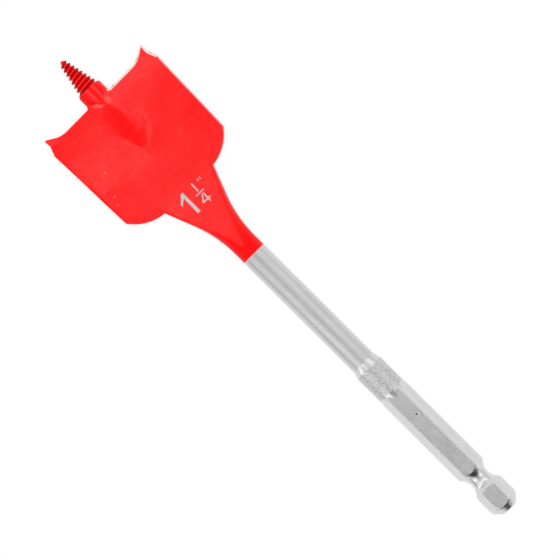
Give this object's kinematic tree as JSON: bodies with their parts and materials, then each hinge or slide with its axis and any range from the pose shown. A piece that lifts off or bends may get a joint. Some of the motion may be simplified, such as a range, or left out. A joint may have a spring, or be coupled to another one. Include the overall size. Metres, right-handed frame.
{
  "type": "spade drill bit",
  "caption": "Spade drill bit: tapered screw point, flat blade with cutting lips and spurs, round shank and a hex quick-change drive end with a detent groove.",
  "frame": {"origin": "centre of the shank's end face, on the bit's axis", "axes": "+X along the axis from the shank's end to the screw point, +Z out of the blade's marked face, +Y to the left of someone who looks down at that face with the point away from them"},
  "size_m": [0.1396, 0.0318, 0.007],
  "materials": {
    "coated_steel": "satin red coat on the screw, blade and neck; the shank behind the coat line is bare satin steel"
  },
  "bodies": {
    "root": {"spade_bit": "coated_steel"}
  },
  "joints": []
}
